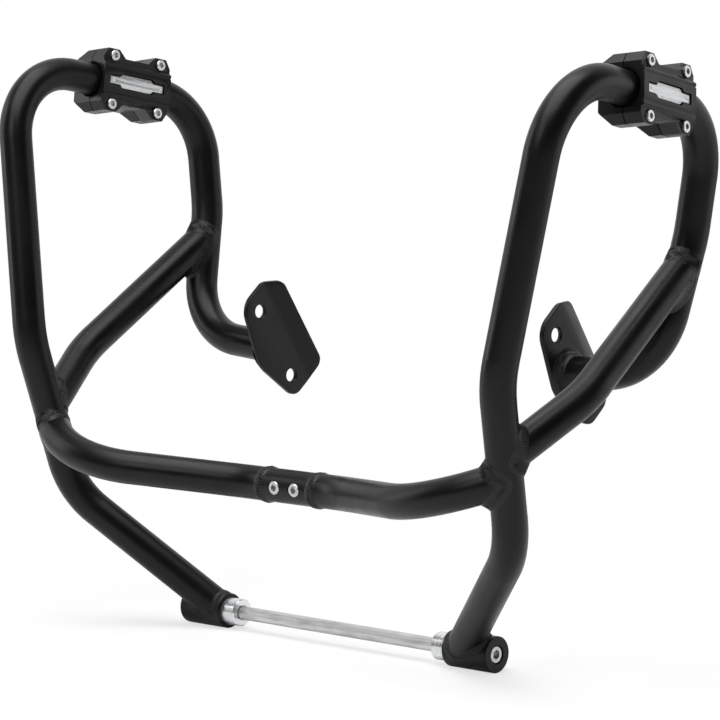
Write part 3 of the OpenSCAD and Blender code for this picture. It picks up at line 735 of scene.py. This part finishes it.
def panel_grooves(side):
    """Cutter for the two V grooves that frame the front panel above and below its badge."""
    shape = bmesh.new()
    diagonal = Matrix.Rotation(math.radians(45), 4, "X")
    bar = Matrix.Diagonal((GROOVE_LENGTH, GROOVE_SIDE, GROOVE_SIDE, 1))
    for y in (-GROOVE_Y, GROOVE_Y):
        place = clamp_place(side) @ Matrix.Translation((0, y, PANEL_FRONT + GROOVE_LIFT))
        bmesh.ops.create_cube(shape, size=1, matrix=place @ diagonal @ bar)
    return cutter_of(shape)


def badge_dimples(side):
    """Cutter for the small pin dimples near the two ends of a badge plate."""
    shape = bmesh.new()
    for x in (-DIMPLE_AT, DIMPLE_AT):
        place = clamp_place(side) @ Matrix.Translation((x, 0, BADGE_FRONT))
        bmesh.ops.create_cone(
            shape, cap_ends=True, segments=20, radius1=DIMPLE_INNER_R, radius2=DIMPLE_OUTER_R,
            depth=DIMPLE_DEPTH, matrix=place,
        )
    return cutter_of(shape)


for side in ("left", "right"):
    cutters = [panel_grooves(side), badge_dimples(side)]
    reworked(side + "_clamp_front", "_grooved", cutters[0])
    reworked(side + "_badge_plate", "_eased", cutters[1], BADGE_EDGE)
    for cutter in cutters:
        bpy.data.objects.remove(cutter)


# Bracket plates: built flat and solid, with round corners and rims, then bent softly along a fold
PLATE_T = 4
FOLD_AT = 15.5
FOLD_R = 22
FOLD_START = FOLD_AT - 2.5
FOLD = math.radians(20)
HOLE_R = 5.25
HOLE_V = 32
HOLE_SIDES = 40
HOLE_CHAMFER = 1.0
RIM_ROUND = 0.7
RIM_CREASE = math.radians(35)
FOLD_CUTS = 10
FOLD_CUT_PITCH = 0.85
PLATE_CORNERS = [
    ((-13, 46.5), 16), ((15.5, 49.5), 11), ((31, 40), 10),
    ((31.5, -40.7), 10), ((17, -47), 30), ((-7, -49.5), 11), ((-24.5, -5), 26),
]


def rounded_outline(corners, steps=8):
    """Points of a polygon whose corners are arcs."""
    points = []
    for i, (corner, radius) in enumerate(corners):
        corner = Vector(corner)
        back = (Vector(corners[i - 1][0]) - corner).normalized()
        on = (Vector(corners[(i + 1) % len(corners)][0]) - corner).normalized()
        half = back.angle(on) / 2
        centre = corner + (back + on).normalized() * (radius / math.sin(half))
        first = corner + back * (radius / math.tan(half)) - centre
        last = corner + on * (radius / math.tan(half)) - centre
        turn = first.angle_signed(last)
        for k in range(steps + 1):
            a = -turn * k / steps
            points.append(centre + Vector((
                first.x * math.cos(a) - first.y * math.sin(a),
                first.x * math.sin(a) + first.y * math.cos(a),
            )))
    return points


def fold_depth(u):
    """How far the sheet has bent inwards at a distance from the hole line."""
    run = u - FOLD_START
    if run <= 0:
        return 0
    bend = FOLD_R * math.sin(FOLD)
    if run < bend:
        return FOLD_R - math.sqrt(FOLD_R ** 2 - run ** 2)
    return FOLD_R * (1 - math.cos(FOLD)) + (run - bend) * math.tan(FOLD)


def rim_rings(shape, outline, profile):
    """Rings of vertices round a rim of the flat plate, set in from it and lifted by the profile."""
    rings = []
    for inset, lift in profile:
        ring = []
        for i, point in enumerate(outline):
            along = (outline[(i + 1) % len(outline)] - outline[i - 1]).normalized()
            place = point + Vector((along.y, -along.x)) * inset
            ring.append(shape.verts.new((place.x, place.y, lift)))
        rings.append(ring)
    for upper, lower in zip(rings, rings[1:]):
        for i in range(len(outline)):
            shape.faces.new((upper[i - 1], upper[i], lower[i], lower[i - 1]))
    return rings[0], rings[-1]


def add_bracket_plate(side):
    sign = 1 if side == "right" else -1
    half = PLATE_T / 2
    quarter = [math.radians(30 * k) for k in range(4)]
    over = [(RIM_ROUND * (1 - math.sin(a)), half - RIM_ROUND * (1 - math.cos(a))) for a in quarter]
    rounded = over + [(inset, -lift) for inset, lift in reversed(over)]
    chamfered = [
        (HOLE_CHAMFER, half), (0, half - HOLE_CHAMFER),
        (0, HOLE_CHAMFER - half), (HOLE_CHAMFER, -half),
    ]

    shape = bmesh.new()
    outer = rounded_outline(PLATE_CORNERS)
    area = sum(outer[i - 1].x * p.y - p.x * outer[i - 1].y for i, p in enumerate(outer))
    if area > 0:
        outer.reverse()
    ends = [rim_rings(shape, outer, rounded)]
    for v in (-HOLE_V, HOLE_V):
        turns = [2 * math.pi * k / HOLE_SIDES for k in range(HOLE_SIDES)]
        hole = [Vector((HOLE_R * math.cos(a), v + HOLE_R * math.sin(a))) for a in turns]
        ends.append(rim_rings(shape, hole, chamfered))
    for face in (0, 1):
        rim_edges = []
        for rim in ends:
            ring = rim[face]
            rim_edges += [shape.edges.get((ring[i - 1], ring[i])) for i in range(len(ring))]
        bmesh.ops.triangle_fill(shape, use_beauty=True, edges=rim_edges, normal=(0, 0, 1))
    for k in range(FOLD_CUTS):
        everything = shape.verts[:] + shape.edges[:] + shape.faces[:]
        at = (FOLD_START + k * FOLD_CUT_PITCH, 0, 0)
        bmesh.ops.bisect_plane(shape, geom=everything, plane_co=at, plane_no=(1, 0, 0))
    for vert in shape.verts:
        u, v, lift = vert.co
        slope = math.asin(min(max(u - FOLD_START, 0) / FOLD_R, math.sin(FOLD)))
        along = Vector((0, math.cos(PLATE_LEAN), math.sin(PLATE_LEAN)))
        rise = Vector((0, -math.sin(PLATE_LEAN), math.cos(PLATE_LEAN)))
        out = Vector((math.cos(slope), 0, 0)) + along * math.sin(slope)
        place = PLATE_MIDDLE + along * u + rise * v - Vector((fold_depth(u), 0, 0)) + out * lift
        vert.co = Vector((sign * place.x, place.y, place.z)) * MM
    bmesh.ops.recalc_face_normals(shape, faces=shape.faces)
    for face in shape.faces:
        face.smooth = True
    mesh = bpy.data.meshes.new("plate")
    shape.to_mesh(mesh)
    shape.free()
    mesh.set_sharp_from_angle(angle=RIM_CREASE)
    node = side + "_bracket_plate"
    piece = add_piece(node + "_folded", mesh, node)
    settle(piece, node)
    face_outwards(piece.data)


for side in ("left", "right"):
    add_bracket_plate(side)

# The CAD's own meshes wear the same finishes
for node, obj in frame["nodes"].items():
    for place in obj.material_slots:
        place.material = FINISHES[SLOTS[node]]


# Floor, light and background
FLOOR_HALF = 6.0
FLOOR_NEAR = 0.3
FLOOR_FAR = 0.95
FLOOR_NEAR_WHITE = 0.66
ROOM_LIGHT = 0.2
ROOM_FRONT = 0.06


def add_floor():
    """Pale floor that takes the part's shadow and turns into the white background further out."""
    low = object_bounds()[0][2]
    corners = [(x * FLOOR_HALF, y * FLOOR_HALF, low) for x, y in ((-1, -1), (1, -1), (1, 1), (-1, 1))]
    mesh = bpy.data.meshes.new("floor")
    mesh.from_pydata(corners, [], [(0, 1, 2, 3)])
    floor = bpy.data.objects.new("floor", mesh)
    bpy.context.scene.collection.objects.link(floor)
    paint = Finish("pale_floor", (0.9, 0.9, 0.9), 0.0, 0.8)
    paint.shader.inputs["Specular IOR Level"].default_value = 0.1
    distance = paint.add("ShaderNodeVectorMath", operation="LENGTH")
    paint.join(paint.place, distance, 0)
    far = paint.add("ShaderNodeMapRange", interpolation_type="SMOOTHSTEP")
    paint.join(distance.outputs["Value"], far, "Value")
    far.inputs["From Min"].default_value = FLOOR_NEAR
    far.inputs["From Max"].default_value = FLOOR_FAR
    far.inputs["To Min"].default_value = FLOOR_NEAR_WHITE
    seen = paint.add("ShaderNodeLightPath").outputs["Is Camera Ray"]
    white = paint.add("ShaderNodeEmission")
    blend = paint.add("ShaderNodeMixShader")
    paint.join(paint.product(far.outputs["Result"], seen), blend, 0)
    paint.join(paint.shader.outputs[0], blend, 1)
    paint.join(white.outputs[0], blend, 2)
    paint.join(blend.outputs[0], paint.nodes["Material Output"], 0)
    mesh.materials.append(paint.material)


def add_softbox(name, at, towards, size, power):
    data = bpy.data.lights.new(name, "AREA")
    data.shape = "RECTANGLE"
    data.size, data.size_y = size
    data.energy = power
    light = bpy.data.objects.new(name, data)
    way = Vector(towards) - Vector(at)
    light.matrix_world = Matrix.Translation(at) @ way.to_track_quat("-Z", "Y").to_matrix().to_4x4()
    bpy.context.scene.collection.objects.link(light)


def add_world():
    """White behind everything; a studio that is dark on the photographer's side lights the part."""
    world = bpy.data.worlds.new("studio")
    bpy.context.scene.world = world
    world.use_nodes = True
    nodes = world.node_tree.nodes
    links = world.node_tree.links
    background = nodes["Background"]
    background.inputs["Color"].default_value = (1, 1, 1, 1)
    rays = nodes.new("ShaderNodeLightPath")
    way = nodes.new("ShaderNodeTexCoord")
    front = nodes.new("ShaderNodeVectorMath")
    front.operation = "DOT_PRODUCT"
    azimuth = math.radians(CAMERA_AZIMUTH)
    front.inputs[1].default_value = (math.sin(azimuth), -math.cos(azimuth), 0.0)
    links.new(way.outputs["Generated"], front.inputs[0])

    def falling(start, end, low):
        node = nodes.new("ShaderNodeMapRange")
        node.interpolation_type = "SMOOTHSTEP"
        node.inputs["From Min"].default_value = start
        node.inputs["From Max"].default_value = end
        node.inputs["To Min"].default_value = 1.0
        node.inputs["To Max"].default_value = low
        links.new(front.outputs["Value"], node.inputs["Value"])
        return node.outputs["Result"]

    def chosen(by, plain, picked):
        node = nodes.new("ShaderNodeMix")
        for socket, value in ((0, by), (2, plain), (3, picked)):
            if isinstance(value, float):
                node.inputs[socket].default_value = value
            else:
                links.new(value, node.inputs[socket])
        return node.outputs[0]

    seen = nodes.new("ShaderNodeMath")
    seen.operation = "MAXIMUM"
    links.new(rays.outputs["Is Camera Ray"], seen.inputs[0])
    links.new(rays.outputs["Is Transmission Ray"], seen.inputs[1])
    reflected = chosen(rays.outputs["Is Glossy Ray"], ROOM_LIGHT, falling(-0.7, 0.0, ROOM_FRONT))
    links.new(chosen(seen.outputs[0], reflected, 1.0), background.inputs["Strength"])


add_floor()
add_softbox("top_softbox", (0.1, -0.4, 1.9), (0, 0, 0.2), (1.9, 1.9), 52)
add_softbox("key_softbox", (0.2, -2.2, 1.5), (0, 0, 0.25), (0.9, 0.9), 10)
add_softbox("left_softbox", (-1.7, -0.9, 0.8), (0, 0, 0.2), (0.5, 1.4), 8)
add_softbox("right_softbox", (1.45, 1.5, 0.5), (0, 0, 0.3), (1.1, 1.1), 5.2)
add_world()
bpy.context.scene.view_settings.view_transform = "Standard"
